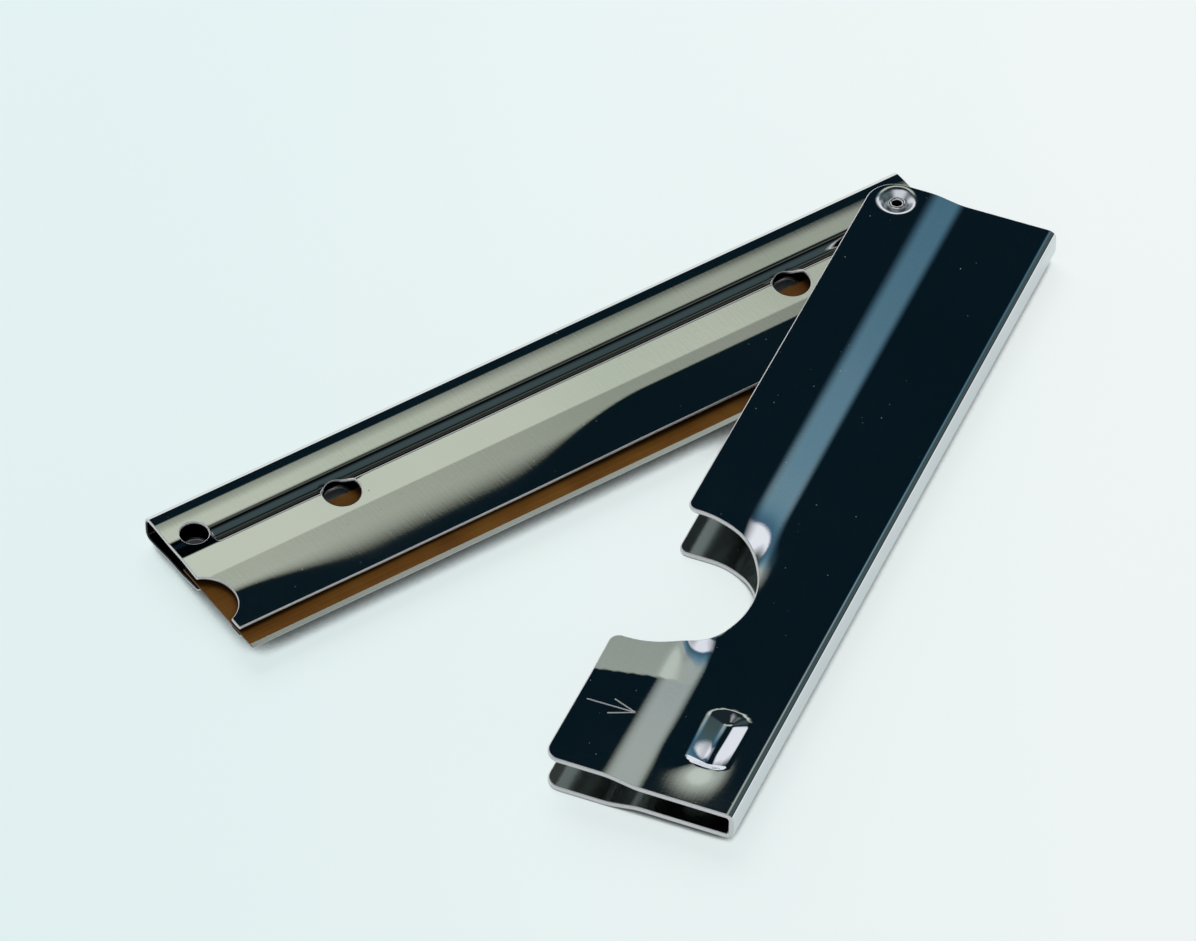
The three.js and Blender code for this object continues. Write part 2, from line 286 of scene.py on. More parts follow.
cover_plate = plated_steel("cover_plate", (0.80, 0.84, 0.86), (0.70, 0.75, 0.78), 0.0,
                           (40, 2600, 2600), 0, 0.000007)
holder_plate = plated_steel("holder_plate", (0.82, 0.84, 0.80), (0.72, 0.76, 0.72), 0.01,
                            (4000, 250, 4000), OPEN_ANGLE, 0.000007)
inner_plate = plated_steel("inner_plate", (0.48, 0.51, 0.50), (0.36, 0.39, 0.38), 0.10,
                           (60, 1800, 1800), 0, 0.000004)
sheared_edge = plated_steel("sheared_edge", (0.90, 0.90, 0.89), (0.74, 0.75, 0.75), 0.26,
                            (900, 900, 120), 0, 0.00001)
sheared_edge.node_tree.nodes["Principled BSDF"].inputs["Metallic"].default_value = 0.6
# The slot finish is nearly black: painted shade on the holder's inner faces and the inner halves of its rims.
slot_painted_shade = plated_steel("slot_painted_shade", (0.05, 0.053, 0.053), (0.035, 0.037, 0.037), 0.16,
                          (60, 1800, 1800), 0, 0.000004)
print("plated finishes made")

# %% [markdown]
# The press stretches the plate in the dimple round the rivet, which leaves it duller there. The holder is
# painted darker in two lines along it, over the near shoulder of the groove and in its bottom: painted shade.

# %% Dull dimple and painted shade in the groove
DULL_NEAR = 1.8
DULL_FAR = 2.5
DULL_AMOUNT = 0.24
GROOVE_SHADE_REACH = 4.0
GROOVE_PAINTED_SHADES = ((0.0, 1.0), (0.12, 0.15), (0.42, 0.15), (0.65, 1.0), (0.95, 1.0), (1.3, 0.12), (2.4, 0.12),
                (2.55, 1.0))


def from_rivet_node(tree):
    """Socket for the place on the piece, measured from the rivet in metres."""
    place = add(tree, "ShaderNodeTexCoord").outputs["Object"]
    offset = add(tree, "ShaderNodeVectorMath", {0: place, 1: tuple(PIVOT * MM)}, operation="SUBTRACT")
    return offset.outputs[0]


def dull_dimple(finish):
    """Adds roughness by the plan distance from the rivet: all of it near, none of it far off."""
    tree = finish.node_tree
    rough = tree.nodes["Principled BSDF"].inputs["Roughness"]
    plan = add(tree, "ShaderNodeVectorMath", {0: from_rivet_node(tree), 1: (1, 1, 0)}, operation="MULTIPLY")
    away = add(tree, "ShaderNodeVectorMath", {0: plan.outputs[0]}, operation="LENGTH").outputs["Value"]
    more = add(tree, "ShaderNodeMapRange",
               {0: away, 1: DULL_NEAR * MM, 2: DULL_FAR * MM, 3: DULL_AMOUNT, 4: 0.0})
    total = add(tree, "ShaderNodeMath", {0: rough.links[0].from_socket, 1: more.outputs[0]}, operation="ADD")
    tree.links.new(total.outputs[0], rough)


def paint_groove_shade(finish):
    """Paints shade: multiplies the tint by shades that are listed by the measure across the holder."""
    tree = finish.node_tree
    base = tree.nodes["Principled BSDF"].inputs["Base Color"]
    across = (np.sin(np.radians(OPEN_ANGLE)), np.cos(np.radians(OPEN_ANGLE)), 0)
    measure = add(tree, "ShaderNodeVectorMath", {0: from_rivet_node(tree), 1: across},
                  operation="DOT_PRODUCT")
    reached = scaled(tree, measure.outputs["Value"], 1 / (GROOVE_SHADE_REACH * MM), 0)
    shade = ramp(tree, reached, [(w / GROOVE_SHADE_REACH, (dark, dark, dark)) for w, dark in GROOVE_PAINTED_SHADES])
    darker = add(tree, "ShaderNodeVectorMath", {0: base.links[0].from_socket, 1: shade}, operation="MULTIPLY")
    tree.links.new(darker.outputs[0], base)


dull_dimple(cover_plate)
# Painted shade: two dark lines along the holder, on the near shoulder and in the groove.
paint_groove_shade(holder_plate)
print("dimple dulled and groove darkened")

# %% [markdown]
# The cover is one folded sheet. Its two walls are joined by the spine and step apart along a slanting
# joggle, so that the thick back of the holder has room at the open edge. The sheet is measured from the
# middle of the spine: first up its flat, then round the fold, then along the wall. The lower wall is the
# mirror image, with measures of the other sign. The notch is cut in the flat blank, as the press does it.

# %% Sizes of the cover
COVER_SHEET = 0.6
COVER_START = -2.75
COVER_FREE = 94.85
OPEN_EDGE = -3.45
COVER_TOP = 2.45
SPINE_TOP = 1.8
SPINE_OUTSIDE = 18.3052
SPINE_FOLD = 0.9
JOGGLE_START = 3.8
JOGGLE_WIDTH = 3.3
JOGGLE_ROUND = 2.2
JOGGLE_FOOT_ROUND = 1.6
JOGGLE_SKEW = 0.4
PIVOT_CORNER = 3.4
FREE_CORNER = 1.8
NOTCH_CENTRE = 65.1
NOTCH_DEPTH = 11.75
NOTCH_UPPER = 10.35
NOTCH_LOWER = 7.8
NOTCH_LIP = 1.2
RIVET_HOLE = 0.85
spine_flat = SPINE_TOP - SPINE_FOLD
fold_y = SPINE_OUTSIDE - SPINE_FOLD
fold_end = spine_flat + SPINE_FOLD * np.pi / 2


def wall_height(x, y):
    """Outer face of the upper wall: the high level less a ramp that a bend starts and a bend ends."""
    y = y - JOGGLE_SKEW * (x / COVER_FREE - 0.5)
    fall = (COVER_TOP - SPINE_TOP) / JOGGLE_WIDTH
    ramp_end = JOGGLE_START + JOGGLE_WIDTH
    return COVER_TOP - fall * (bend(y, JOGGLE_START, JOGGLE_ROUND) - bend(y, ramp_end, JOGGLE_FOOT_ROUND))


# %% [markdown]
# Pressed features are depths below the wall. The dimple is a cone round the rivet, the grip a trough with
# round ends. On the real cover the sheet is also a little out of flat round the notch and behind the
# grip, and a mirror shows that strongly. A raised tab with a crease and three small bells give it.

# %% Pressed features of the cover
DIMPLE_LINES = ((2.25, 0.35, 0.7), (1.95, 0.49, 0.5), (1.12, -0.84, 0.3))
DIMPLE_BACK_LINES = ((2.05, 0.4717, 0.1), (1.56, 3.0, 0.04), (1.5, -2.4, 0.1), (1.22, -1.0717, 0.2))
GRIP_X = 84.95
GRIP_Y = 12.65
GRIP_RUN = (-2.8, 3.4)
GRIP_END_STEEPER = (1.6, 2.2)
GRIP_LINES = ((2.4, 0.33, 0.7), (0.35, -0.33, 0.8))
GRIP_BACK_LINES = ((2.4, 0.22, 0.35), (0.4, -0.22, 0.5))
CREASE_X = 80.31
CREASE_SLANT = -0.209
TAB_LIFT = 0.045
GRIP_BELL = (0.24, (88.9, 12.1), (2.0, 1.7))
LEFT_BELL = (0.44, (59.4, 4.9), (2.9, 1.6))
RIGHT_BELL = (-0.38, (70.9, 5.4), (1.7, 1.3))


def dished(distance, rows):
    """Depth that grows inward: a sum of bends at the listed distances, each with its change of slope."""
    return sum(slope * bend(-distance, -at, width) for at, slope, width in rows)


def grip(x, y, rows):
    """Trough of the grip: depth by the distance from its middle line, steeper at its ends."""
    before = np.maximum(GRIP_X + GRIP_RUN[0] - x, 0) * GRIP_END_STEEPER[0]
    beyond = np.maximum(x - GRIP_X - GRIP_RUN[1], 0) * GRIP_END_STEEPER[1]
    return dished(np.hypot(before + beyond, y - GRIP_Y), rows)


def out_of_flat(x, y):
    """Unevenness of the upper wall, raised is negative: the creased tab and bells by notch and grip."""
    crease = CREASE_X + CREASE_SLANT * y
    tab = TAB_LIFT * bend(crease - x, 0, 0.25) * ease(x, 64, 66) * (1 - ease(y, 3.5, 7.5))
    ridge = bell(x, y, *GRIP_BELL) * (1 - ease(y, 14.2, 16.4))
    return -(tab + ridge + bell(x, y, *LEFT_BELL) + bell(x, y, *RIGHT_BELL))


def cover_place(flat, face):
    """Point of the blank on the folded cover: along the spine, round the fold, along the joggled wall."""
    x, v = flat.T
    q = np.abs(v)
    upper = np.where(v < 0, 1.0, -1.0)
    angle = np.clip((q - spine_flat) / SPINE_FOLD, 0, np.pi / 2)
    run = np.maximum(q - fold_end, 0)
    y = fold_y - run
    slope = (wall_height(x, y + 0.01) - wall_height(x, y - 0.01)) / 0.02
    on_wall = run > 0
    ny = np.where(on_wall, -slope / np.hypot(1, slope), np.cos(angle))
    nz = np.where(on_wall, 1 / np.hypot(1, slope), np.sin(angle))
    z = np.where(on_wall, wall_height(x, y), np.minimum(q, spine_flat) + SPINE_FOLD * np.sin(angle))
    warp = np.where((upper > 0) & on_wall, out_of_flat(x, y), 0)
    if face == 0:
        pressed = dished(np.hypot(x, y), DIMPLE_LINES) + grip(x, y, GRIP_LINES)
        depth = np.where(on_wall, pressed, 0) + warp
    else:
        pressed = dished(np.hypot(x, y), DIMPLE_BACK_LINES) + grip(x, y, GRIP_BACK_LINES)
        depth = COVER_SHEET + np.where(on_wall, pressed, 0) + warp
    return in_frame(x, y + SPINE_FOLD * np.cos(angle) - depth * ny, upper * (z - depth * nz))


# %% Cut and fold the cover


def open_edge(notch):
    """Open edge of one wall from the rivet to the free end, set in by the bulge of the rim."""
    low = OPEN_EDGE + NOTCH_LIP
    middle = OPEN_EDGE + NOTCH_DEPTH - notch
    inset = COVER_SHEET / 2 * RIM_BULGE
    return np.concatenate([
        arc((COVER_START + PIVOT_CORNER, OPEN_EDGE + PIVOT_CORNER), PIVOT_CORNER - inset, 180, 270),
        arc((NOTCH_CENTRE - notch - NOTCH_LIP, low), NOTCH_LIP - inset, -90, 0, 12),
        arc((NOTCH_CENTRE, middle), notch + inset, 180, 0, 72),
        arc((NOTCH_CENTRE + notch + NOTCH_LIP, low), NOTCH_LIP - inset, 180, 270, 12),
        arc((COVER_FREE - FREE_CORNER, OPEN_EDGE + FREE_CORNER), FREE_CORNER - inset, 270, 360),
    ])


def on_blank(path, upper):
    """Plan points of a wall as points of the blank."""
    return np.stack([path[:, 0], upper * (path[:, 1] - fold_end - fold_y)], 1)


def closed(path, step):
    """Closed path divided evenly, without its repeated last point."""
    return divided(np.concatenate([path, path[:1]]), step)[:-1]


cover_outline = closed(np.concatenate([on_blank(open_edge(NOTCH_UPPER), 1),
                                       on_blank(open_edge(NOTCH_LOWER), -1)[::-1]]), 0.5)
rivet_ring = arc((0, 0), RIVET_HOLE, 0, 360, 49)[:-1]
cover_borders = [cover_outline, on_blank(rivet_ring, 1), on_blank(rivet_ring, -1)]
wall_lines = lines((-3.2, 2.4, 0.5), (2.4, 8.4, 0.2), (8.4, 9.8, 0.4), (9.8, 15.6, 0.2), (15.6, 17.3, 0.45))
cover_half = np.concatenate([lines((0, spine_flat, 0.3)), np.linspace(spine_flat, fold_end, 14),
                             fold_end + fold_y - wall_lines])
cover_lines = np.unique(np.concatenate([-cover_half, cover_half]))
cover_columns = lines((COVER_START + 0.3, 49, 0.9), (49, COVER_FREE - 0.2, 0.3))
cover_grid = np.stack(np.meshgrid(cover_columns, cover_lines), -1).reshape(-1, 2)
rings = np.linspace(1.0, 2.5, 14)
turns = np.radians(np.arange(0, 360, 7.5))
dimple_grid = np.stack([np.outer(rings, np.cos(turns)), np.outer(rings, np.sin(turns))], -1).reshape(-1, 2)
from_rivet = np.hypot(cover_grid[:, 0], np.abs(cover_grid[:, 1]) - fold_end - fold_y)
cover_inside = np.concatenate([cover_grid[from_rivet > 2.6],
                               on_blank(dimple_grid, 1), on_blank(dimple_grid, -1)])
cover_flat, cover_triangles = blank(cover_borders, cover_inside)
cover_piece = bent_sheet("cover_sheet", cover_place, cover_flat, cover_triangles,
                         [cover_plate, inner_plate, sheared_edge, sheared_edge])
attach(cover_piece, "cover_body")
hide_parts("cover")

# %% [markdown]
# The holder is folded back on itself round the blade. Its section starts in the middle of the back, goes
# round the fold, over a slightly crowned band, through a stiffening groove and down a bevel to the lip.
# The groove runs from pivot hole to pivot hole and fades out there. The bevel eases into the flat over a
# longer way toward the free end, which softens the dark reflection there.

# %% Section of the holder
HOLDER_SHEET = 0.45
HOLDER_START = -3.25
HOLDER_END = 96.75
HOLDER_TOP = 1.6
HOLDER_BACK = -5.15
HOLDER_FOLD = 1.0
LIP_END = 14.4
GROOVE_LINES = ((0.35, -0.9, 0.7), (1.25, 1.54, 0.8), (2.5156, -0.64, 0.35))
GROOVE_ENDS = (-0.4, 0.9, 91.55, 92.15)
CROWN_LINES = ((-3.15, -0.055, 0.35), (-2.3, -0.035, 1.6), (-0.1, 0.09, 0.5))
BEVEL_LINES = ((2.6, -0.105, 0.3), (6.25, 0.035, 0.2))
FLAT_EASE = 0.066
FLAT_CORNER = (8.0, 3.4)
FLAT_WIDTH = (0.5, 5.5)
SOFT_RISE = (40, 62)
SOFT_FALL = (78, 95)
SOFT_LOSS = 0.6
back_flat = HOLDER_TOP - HOLDER_FOLD
back_end = back_flat + HOLDER_FOLD * np.pi / 2
fold_w = HOLDER_BACK + HOLDER_FOLD


def holder_height(u, w):
    """Outer face of the upper half: bends for crown, groove and bevel, the last one wider near the end."""
    line = sum(slope * bend(w, at, width) for at, slope, width in CROWN_LINES + BEVEL_LINES)
    groove = sum(slope * bend(w, at, width) for at, slope, width in GROOVE_LINES)
    a, b, c, d = GROOVE_ENDS
    soft = ease(u, *SOFT_RISE) * (1 - SOFT_LOSS * ease(u, *SOFT_FALL))
    corner = FLAT_CORNER[0] + FLAT_CORNER[1] * soft
    flat = FLAT_EASE * bend(w, corner, FLAT_WIDTH[0] + FLAT_WIDTH[1] * soft**2)
    return HOLDER_TOP + line + flat + groove * ease(u, a, b) * (1 - ease(u, c, d))


def holder_place(flat, face):
    """Point of the blank on the folded holder: along the back, round the fold, along the upper line."""
    u, v = flat.T
    q = np.abs(v)
    upper = np.where(v < 0, -1.0, 1.0)
    angle = np.clip((q - back_flat) / HOLDER_FOLD, 0, np.pi / 2)
    run = np.maximum(q - back_end, 0)
    w = fold_w + run
    slope = (holder_height(u, w + 0.005) - holder_height(u, w - 0.005)) / 0.01
    on_wall = run > 0
    nw = np.where(on_wall, -slope / np.hypot(1, slope), -np.cos(angle))
    nz = np.where(on_wall, 1 / np.hypot(1, slope), np.sin(angle))
    z = np.where(on_wall, holder_height(u, w), np.minimum(q, back_flat) + HOLDER_FOLD * np.sin(angle))
    depth = HOLDER_SHEET * face
    return in_frame(u, w - HOLDER_FOLD * np.cos(angle) - depth * nw, upper * (z - depth * nz), OPEN_ANGLE)


# %% Cut and fold the holder
PIVOT_HOLE = 1.6
SIGHT_HOLE = 2.2
SIGHT_U = (16.85, 76.65)
SIGHT_W = 3.3
SPARE_U = 93.5
BITE_RADIUS = 3.75
BITE_DEPTH = 2.4
BITE_W = 9.2


def on_strip(path, upper):
    """Plan points of one half of the holder as points of its blank."""
    return np.stack([path[:, 0], upper * (back_end - fold_w + path[:, 1])], 1)


def holder_end_line(end, outward):
    """End of the upper half from its lip to the back: straight, with a round bite where the blade shows."""
    inset = HOLDER_SHEET / 2 * RIM_BULGE
    radius = BITE_RADIUS + inset
    centre = end + outward * (BITE_RADIUS - BITE_DEPTH)
    end = end - outward * inset
    half_angle = np.degrees(np.arccos((BITE_RADIUS - BITE_DEPTH + inset) / radius))
    middle = 180 if outward > 0 else 0
    bite = arc((centre, BITE_W), radius, middle - outward * half_angle, middle + outward * half_angle, 40)
    return np.concatenate([[[end, LIP_END - inset]], bite, [[end, fold_w]]])


near_end = holder_end_line(HOLDER_START, -1)
far_end = holder_end_line(HOLDER_END, 1)
holder_outline = closed(np.concatenate([on_strip(far_end, 1), on_strip(far_end, -1)[::-1],
                                        on_strip(near_end, -1), on_strip(near_end, 1)[::-1]]), 0.5)
holes = [((0, 0), PIVOT_HOLE), ((SPARE_U, 0), PIVOT_HOLE)] + [((u, SIGHT_W), SIGHT_HOLE) for u in SIGHT_U]
hole_inset = HOLDER_SHEET / 2 * RIM_BULGE
hole_rings = [on_strip(arc(centre, radius + hole_inset, 0, 360, 65)[:-1], side)
              for centre, radius in holes for side in (1, -1)]
half_lines = lines((-4.0, -0.9, 0.25), (-0.9, 3.1, 0.1), (3.1, 5.8, 0.4), (5.8, 6.8, 0.1), (6.8, 12.2, 0.25),
                   (12.2, 14.3, 0.5))
holder_half = np.concatenate([lines((0, back_flat, 0.2)), np.linspace(back_flat, back_end, 14),
                              back_end - fold_w + half_lines])
holder_lines = np.unique(np.concatenate([-holder_half, holder_half]))
holder_columns = lines((HOLDER_START + 0.2, 1.4, 0.2), (1.4, 90.2, 1.0), (90.2, 92.3, 0.1),
                       (92.3, HOLDER_END - 0.1, 0.25))
holder_grid = np.stack(np.meshgrid(holder_columns, holder_lines), -1).reshape(-1, 2)
holder_flat, holder_triangles = blank([holder_outline, *hole_rings], holder_grid)
# The inner faces and inner rim halves of the holder get the nearly black finish of painted shade.
holder_piece = bent_sheet("holder_sheet", holder_place, holder_flat, holder_triangles,
                          [holder_plate, slot_painted_shade, sheared_edge, slot_painted_shade])
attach(holder_piece, "holder_body")
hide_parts("blade_holder")

# %% [markdown]
# The blade is hardened strip with a brown, oil-tempered skin, and it is ground bright along its edge. Its
# section is a closed line of few corners, carried along the holder. The colour is a skin and not a mirror,
# so it is rougher and less metallic than the plate, with lines along the strip where it was rolled. Where
# the holder covers it, the skin is painted darker: painted shade.

# %% Brown blade finish
brown = bpy.data.materials.new("tempered_brown")
brown.use_nodes = True
tree = brown.node_tree
shader = tree.nodes["Principled BSDF"]
place = add(tree, "ShaderNodeTexCoord").outputs["Object"]
along = add(tree, "ShaderNodeMapping", {"Vector": place, "Rotation": (0, 0, np.radians(OPEN_ANGLE))})
rolled = add(tree, "ShaderNodeMapping", {"Vector": along.outputs[0], "Scale": (50, 3000, 3000)})
streaks = noise(tree, rolled.outputs[0], 1, 3)
cloud = noise(tree, place, 160, 4)
mottle = add(tree, "ShaderNodeMath", {0: streaks, 1: 0.5, 2: cloud}, operation="MULTIPLY_ADD")
tint = ramp(tree, mottle.outputs[0], [(0.45, (0.105, 0.038, 0.003)), (0.75, (0.175, 0.068, 0.006)),
                                      (1.0, (0.22, 0.095, 0.012))])
bump = add(tree, "ShaderNodeBump", {"Height": streaks, "Strength": 0.2, "Distance": 0.000008})
# Painted shade: an occlusion test darkens the skin where the holder closes over it.
open_side = add(tree, "ShaderNodeAmbientOcclusion", {"Distance": 0.003}, samples=8).outputs["AO"]
painted_shade_share = add(tree, "ShaderNodeMapRange", {0: open_side, 1: 0.5, 2: 0.9, 3: 0.25, 4: 1.0}).outputs[0]
tint = add(tree, "ShaderNodeVectorMath", {0: tint, "Scale": painted_shade_share}, operation="SCALE").outputs[0]
tree.links.new(tint, shader.inputs["Base Color"])
tree.links.new(scaled(tree, cloud, 0.2, 0.36), shader.inputs["Roughness"])
tree.links.new(bump.outputs[0], shader.inputs["Normal"])
shader.inputs["Metallic"].default_value = 0.25
shader.inputs["Specular IOR Level"].default_value = 0.2
ground_edge = plated_steel("ground_edge", (0.84, 0.85, 0.84), (0.70, 0.72, 0.72), 0.22,
                           (3000, 60, 3000), OPEN_ANGLE, 0.000008)

# %% Draw the blade
BLADE_BACK = 2.95
BLADE_EDGE = 17.15
BLADE_HALF = 0.125
GROUND_WIDTH = 0.6
EDGE_HALF = 0.02
blade_section = np.array([(BLADE_BACK, -BLADE_HALF), (BLADE_EDGE - GROUND_WIDTH, -BLADE_HALF),
                          (BLADE_EDGE, -EDGE_HALF), (BLADE_EDGE, EDGE_HALF),
                          (BLADE_EDGE - GROUND_WIDTH, BLADE_HALF), (BLADE_BACK, BLADE_HALF)])


def drawn_strip(name, section, first, last, columns, finish_of_side, finishes):
    """Closed section carried along the holder in equal steps, with a fan of triangles at each end."""
    n = len(section)
    u = np.repeat(np.linspace(first, last, columns), n)
    w, z = np.tile(section, (columns, 1)).T
    points = in_frame(u, w, z, OPEN_ANGLE)
    k = np.arange((columns - 1) * n)
    side = k % n
    on = k - side + (side + 1) % n
    walls = np.concatenate([np.stack([k, on, on + n], 1), np.stack([k, on + n, k + n], 1)])
    fan = np.stack([np.zeros(n - 2, int), np.arange(1, n - 1), np.arange(2, n)], 1)
    faces = np.concatenate([walls, fan[:, ::-1], (columns - 1) * n + fan])
    a, b, c = (points[faces[:, j]] for j in range(3))
    normals = np.repeat(unit(np.cross(b - a, c - a))[:, None], 3, 1)
    finish_of = np.concatenate([np.tile(finish_of_side[side], 2), np.zeros(2 * len(fan))])
    return shaded_mesh(name, points, faces, normals, finish_of, finishes)


blade_piece = drawn_strip("blade_strip", blade_section, HOLDER_START, HOLDER_END, 60,
                          np.array([0, 1, 1, 1, 0, 0]), [brown, ground_edge])
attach(blade_piece, "blade_body")
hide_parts("blade")

# %% [markdown]
# The rivet is a tube whose ends are rolled outward onto the floors of the two dimples. A closed profile of
# radius and height, turned about the hinge, gives it.

# %% Turn the rivet
SHANK = 0.8
BORE = 0.55
ROLL = 0.25
SEAT = 1.62
rim_angle = np.radians(np.linspace(-90, 180, 19))
upper_rim = np.stack([BORE + ROLL + ROLL * np.cos(rim_angle), SEAT + ROLL + ROLL * np.sin(rim_angle)], 1)
half_profile = np.concatenate([[[SHANK, SEAT]], upper_rim])
rivet_profile = np.concatenate([half_profile, half_profile[::-1] * [1, -1]])


def turned_ring(name, profile, turns, finishes):
    """Closed profile of radius and height turned about the hinge: a grid of turns by profile points."""
    n = len(profile)
    a = np.repeat(np.linspace(0, 2 * np.pi, turns, endpoint=False), n)
    r, z = np.tile(profile, (turns, 1)).T
    points = in_frame(r * np.cos(a), r * np.sin(a), z)
    step = np.roll(profile, -1, 0) - np.roll(profile, 1, 0)
    out = unit(np.stack([step[:, 1], -step[:, 0]], 1))
    out_r, out_z = np.tile(out, (turns, 1)).T
    normals = np.stack([out_r * np.cos(a), out_r * np.sin(a), out_z], 1)
    k = np.arange(turns * n)
    on = k - k % n + (k % n + 1) % n
    right = (k + n) % (turns * n)
    right_on = (on + n) % (turns * n)
    faces = np.concatenate([np.stack([k, right, right_on], 1), np.stack([k, right_on, on], 1)])
    return shaded_mesh(name, points, faces, normals[faces], np.zeros(len(faces)), finishes)


rivet_plate = plated_steel("rivet_plate", (0.86, 0.87, 0.88), (0.74, 0.76, 0.78), 0.06,
                           (900, 900, 900), 0, 0.000004)
rivet_piece = turned_ring("rivet_tube", rivet_profile, 64, [rivet_plate])
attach(rivet_piece, "cover_body")
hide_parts("pivot_rivet")

# %% [markdown]
# Near the free end the cover carries an engraved arrow that shows where the holder is gripped. Each stroke
# is a thin strip laid on the pressed surface by the cover's own placing function, so it follows the sheet.

# %% Engraved arrow
STROKE_HALF = 0.075
STROKE_RISE = 0.012
ARROW_TIP = (85.33, 3.26)
ARROW_STARTS = ((85.42, -2.28), (84.33, 0.49), (86.52, 0.53))
engraved = plated_steel("engraved_stroke", (0.92, 0.92, 0.90), (0.80, 0.80, 0.79), 0.42,
                        (800, 800, 800), 0, 0.00001)


def stroke_grid(start, end, points=24):
    """Flat strip from start to end: points along it, and across it the two sides at half a stroke."""
    start, end = np.array(start), np.array(end)
    ahead = unit((end - start)[None])[0]
    side = np.array([-ahead[1], ahead[0]]) * STROKE_HALF
    middle = start + np.linspace(0, 1, points)[:, None] * (end - start)
    return np.concatenate([middle - side, middle + side])


def strokes_mesh(name, starts, tip, points=24):
    """Strokes laid on the cover, each a closed strip of a top and a bottom face and its border."""
    flat = np.concatenate([on_blank(stroke_grid(s, tip, points), 1) for s in starts])
    k = np.concatenate([2 * points * i + np.arange(points - 1) for i in range(len(starts))])
    triangles = np.concatenate([np.stack([k, k + 1, k + points], 1),
                                np.stack([k + 1, k + points + 1, k + points], 1)])

    def place(at, face):
        """The cover's outer face, raised by the rise of the stroke or sunk by as much."""
        lift = np.array([0, 0, STROKE_RISE * (1 - 2 * face)]) * MM
        return cover_place(at, 0) + lift

    return bent_sheet(name, place, flat, triangles, [engraved] * 4)


arrow_piece = strokes_mesh("arrow_mark", ARROW_STARTS, ARROW_TIP)
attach(arrow_piece, "cover_body")

# %% [markdown]
# The floor is a plain pale sheet. Seen by the camera and in reflections it glows a little below white, and
# a share of it is ordinary diffuse paper. The glow is taken away close under the part, which keeps the soft
# contact shadow, and it grows toward the right of the picture, as the studio light does.

# %% Floor
FLOOR_HALF = 3.0
FLOOR_DROP = 0.00002
GLOW_LEFT = (0.60, 0.70, 0.70)
GLOW_RIGHT = (0.70, 0.74, 0.73)
TO_RIGHT = (-0.385, 0.923, 0)
GLOW_SHARES_PER_METRE = 7
MIRRORED_GLOW = 0.82
floor_mesh = bpy.data.meshes.new("floor")
floor_mesh.from_pydata([(-FLOOR_HALF, -FLOOR_HALF, -FLOOR_DROP), (FLOOR_HALF, -FLOOR_HALF, -FLOOR_DROP),
                        (FLOOR_HALF, FLOOR_HALF, -FLOOR_DROP), (-FLOOR_HALF, FLOOR_HALF, -FLOOR_DROP)], [],
                       [(0, 1, 2, 3)])
floor = bpy.data.objects.new("floor", floor_mesh)
bpy.context.scene.collection.objects.link(floor)
paper = bpy.data.materials.new("pale_paper")
paper.use_nodes = True
tree = paper.node_tree
tree.nodes.remove(tree.nodes["Principled BSDF"])
path = add(tree, "ShaderNodeLightPath").outputs
mirrored = scaled(tree, path["Is Glossy Ray"], MIRRORED_GLOW, 0.0)
seen = add(tree, "ShaderNodeMath", {0: path["Is Camera Ray"], 1: mirrored}, operation="MAXIMUM").outputs[0]
seen = add(tree, "ShaderNodeMath", {0: seen, 1: path["Is Transmission Ray"]}, operation="MAXIMUM").outputs[0]
open_sky = add(tree, "ShaderNodeAmbientOcclusion", {"Distance": 0.006}, samples=8).outputs["AO"]
bare = add(tree, "ShaderNodeMapRange", {0: open_sky, 1: 0.32, 2: 0.5, 3: 0.0, 4: 1.0}).outputs[0]
lit = add(tree, "ShaderNodeMath", {0: seen, 1: bare}, operation="MULTIPLY")
place = add(tree, "ShaderNodeTexCoord").outputs["Object"]
rightward = add(tree, "ShaderNodeVectorMath", {0: place, 1: TO_RIGHT}, operation="DOT_PRODUCT")
falloff = ramp(tree, scaled(tree, rightward.outputs["Value"], GLOW_SHARES_PER_METRE, 0.5),
               [(0.1, GLOW_LEFT), (0.9, GLOW_RIGHT)])
glow = add(tree, "ShaderNodeEmission", {"Color": falloff, "Strength": lit.outputs[0]})
matt = add(tree, "ShaderNodeBsdfDiffuse", {"Color": (0.26, 0.28, 0.28, 1)})
both = add(tree, "ShaderNodeAddShader", {0: glow.outputs[0], 1: matt.outputs[0]})
tree.links.new(both.outputs[0], tree.nodes["Material Output"].inputs["Surface"])
floor_mesh.materials.append(paper)

# %% [markdown]
# Polished metal shows its room, so the room is drawn as a sky of ramps of height, one for each side that it
# is seen from. Opposite the camera there is a white horizon, a dark gap, a broad warm soft box and a dark
# ceiling. Beside that come a blue-grey window, an olive corner and dim sides, and behind the camera a graded
# wall. The camera itself sees only a pale backdrop. One soft lamp lights what is not a mirror.

# %% Studio room
DARK = (0.003, 0.010, 0.016)
WARM = np.array([0.98, 1.05, 0.92])
HORIZON = (0.93, 0.92, 0.97)
DIM = (0.05, 0.075, 0.085)
OLIVE = (0.065, 0.095, 0.09)
WALL_START = 0.76
WALL_FULL = 0.86
CEILING = (0.014, 0.022, 0.026)
SOFT_BOX = [(0.743, tuple(0.10 * WARM)), (0.766, tuple(0.30 * WARM)), (0.788, tuple(0.43 * WARM)),
            (0.804, tuple(0.60 * WARM)), (0.843, tuple(0.67 * WARM)), (0.875, tuple(0.48 * WARM)),
            (0.899, CEILING)]
room = bpy.data.worlds.new("studio_room")
room.use_nodes = True
bpy.context.scene.world = room
tree = room.node_tree
way = add(tree, "ShaderNodeTexCoord").outputs["Generated"]
axes = add(tree, "ShaderNodeSeparateXYZ", {0: way}).outputs
rise = axes["Z"]
gap = ramp(tree, rise, [(0.0, HORIZON), (0.46, HORIZON), (0.53, DARK), (0.735, DARK), *SOFT_BOX])
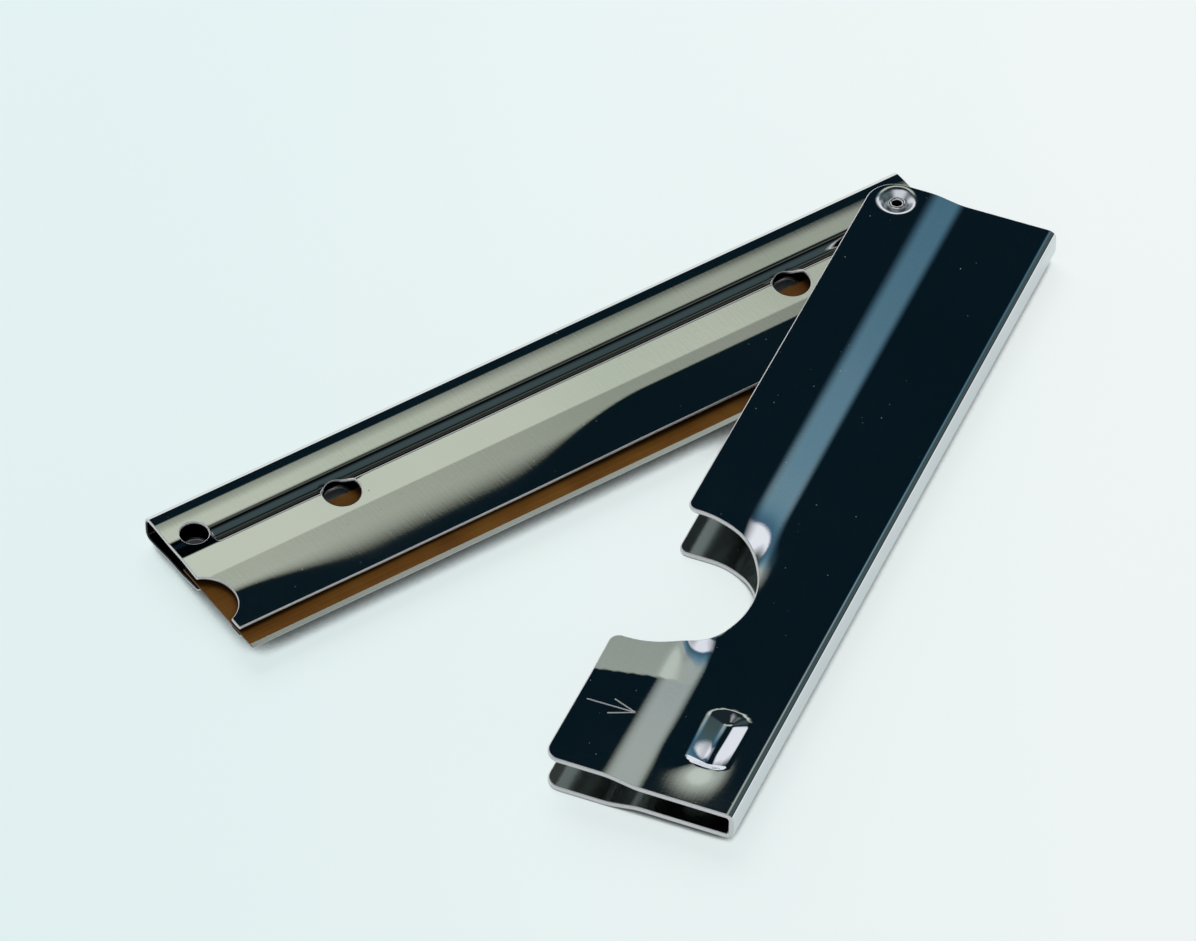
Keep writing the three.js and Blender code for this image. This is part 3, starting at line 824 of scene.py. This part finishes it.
window = ramp(tree, rise, [(0.0, HORIZON), (0.675, HORIZON), (0.695, (0.05, 0.12, 0.19)),
                           (0.72, (0.075, 0.17, 0.235)), (0.746, (0.15, 0.27, 0.34)),
                           (0.758, (0.28, 0.34, 0.36)), (0.766, (0.42, 0.45, 0.42)), *SOFT_BOX[2:]])
shaded = ramp(tree, rise, [(0.0, HORIZON), (0.42, HORIZON), (0.53, DIM), (0.77, DIM), (0.83, CEILING)])
far_corner = ramp(tree, rise, [(0.0, HORIZON), (0.15, HORIZON), (0.19, DARK), (0.30, DARK), (0.35, OLIVE),
                               (0.70, OLIVE), (0.77, DIM), (0.83, CEILING)])
hollow = ramp(tree, rise, [(0.0, HORIZON), (0.42, HORIZON), (0.53, DIM), (0.80, DIM), (0.88, CEILING)])
behind = ramp(tree, rise, [(0.0, HORIZON), (0.14, HORIZON), (0.30, (0.42, 0.44, 0.46)),
                           (0.46, (0.14, 0.17, 0.19)), (0.58, (0.20, 0.23, 0.25)), (0.68, (0.75, 0.75, 0.78)),
                           (0.90, HORIZON), (0.96, CEILING)])
back = add(tree, "ShaderNodeVectorMath", {0: way, 1: (-1, -1, -1)}, operation="MULTIPLY").outputs[0]
back = add(tree, "ShaderNodeSeparateXYZ", {0: back}).outputs
round_about = add(tree, "ShaderNodeMath", {0: back["Y"], 1: back["X"]}, operation="ARCTAN2").outputs[0]
share = scaled(tree, round_about, 0.5 / np.pi, 0.5)
sides = [(hollow, 0.16, 0.05), (far_corner, 0.32, 0.02), (window, 0.458, 0.012), (gap, 0.520, 0.025),
         (shaded, 0.66, 0.02)]
sky = behind
for side, start, soft in sides:
    first = add(tree, "ShaderNodeMapRange", {0: share, 1: start - soft, 2: start + soft}).outputs[0]
    last = add(tree, "ShaderNodeMapRange", {0: share, 1: WALL_FULL, 2: WALL_START}).outputs[0]
    strength = add(tree, "ShaderNodeMath", {0: first, 1: last}, operation="MULTIPLY").outputs[0]
    sky = add(tree, "ShaderNodeMix", {0: strength, 6: sky, 7: side}, data_type="RGBA").outputs[2]
seen = add(tree, "ShaderNodeLightPath").outputs["Is Camera Ray"]
shown = add(tree, "ShaderNodeMix", {0: seen, 6: sky, 7: (0.78, 0.88, 0.88, 1)}, data_type="RGBA")
tree.links.new(shown.outputs[2], tree.nodes["Background"].inputs["Color"])
lamp = bpy.data.lights.new("soft_lamp", "AREA")
lamp.energy = 5.0
lamp.shape = "SQUARE"
lamp.size = 0.7
lamp_object = bpy.data.objects.new("soft_lamp", lamp)
lamp_object.location = (-0.63, -0.44, 0.72)
lamp_object.visible_glossy = False
lamp_object.rotation_euler = (-lamp_object.location).to_track_quat("-Z", "Y").to_euler()
bpy.context.scene.collection.objects.link(lamp_object)
print("room and lamp set")

# %% [markdown]
# The camera stands where the photograph was taken from: far off, with a long lens, looking down at about
# forty-five degrees from beyond the free end of the cover. The long lens keeps the edges almost parallel.

# %% Camera
TARGET = np.array([50.902, -15.408, 0.0])
CAMERA_AZIMUTH = 22.643
CAMERA_ELEVATION = 44.654
CAMERA_DISTANCE = 878.2
FOCAL_PIXELS = 8007.4
IMAGE_WIDTH = 1196
az, el = np.radians([CAMERA_AZIMUTH, CAMERA_ELEVATION])
toward = np.array([np.cos(el) * np.cos(az), np.cos(el) * np.sin(az), np.sin(el)])
camera_data = bpy.data.cameras.new("photo_camera")
camera_data.sensor_fit = "HORIZONTAL"
camera_data.sensor_width = 36.0
camera_data.lens = FOCAL_PIXELS / IMAGE_WIDTH * camera_data.sensor_width
camera_data.clip_start = 0.01
camera = bpy.data.objects.new("photo_camera", camera_data)
camera.location = Vector(in_frame(*(TARGET + CAMERA_DISTANCE * toward)))
camera.rotation_euler = Vector(-toward).to_track_quat("-Z", "Y").to_euler()
bpy.context.scene.collection.objects.link(camera)
bpy.context.scene.camera = camera
bpy.context.scene.view_settings.view_transform = "Standard"
print("camera lens", round(camera_data.lens, 1), "mm")
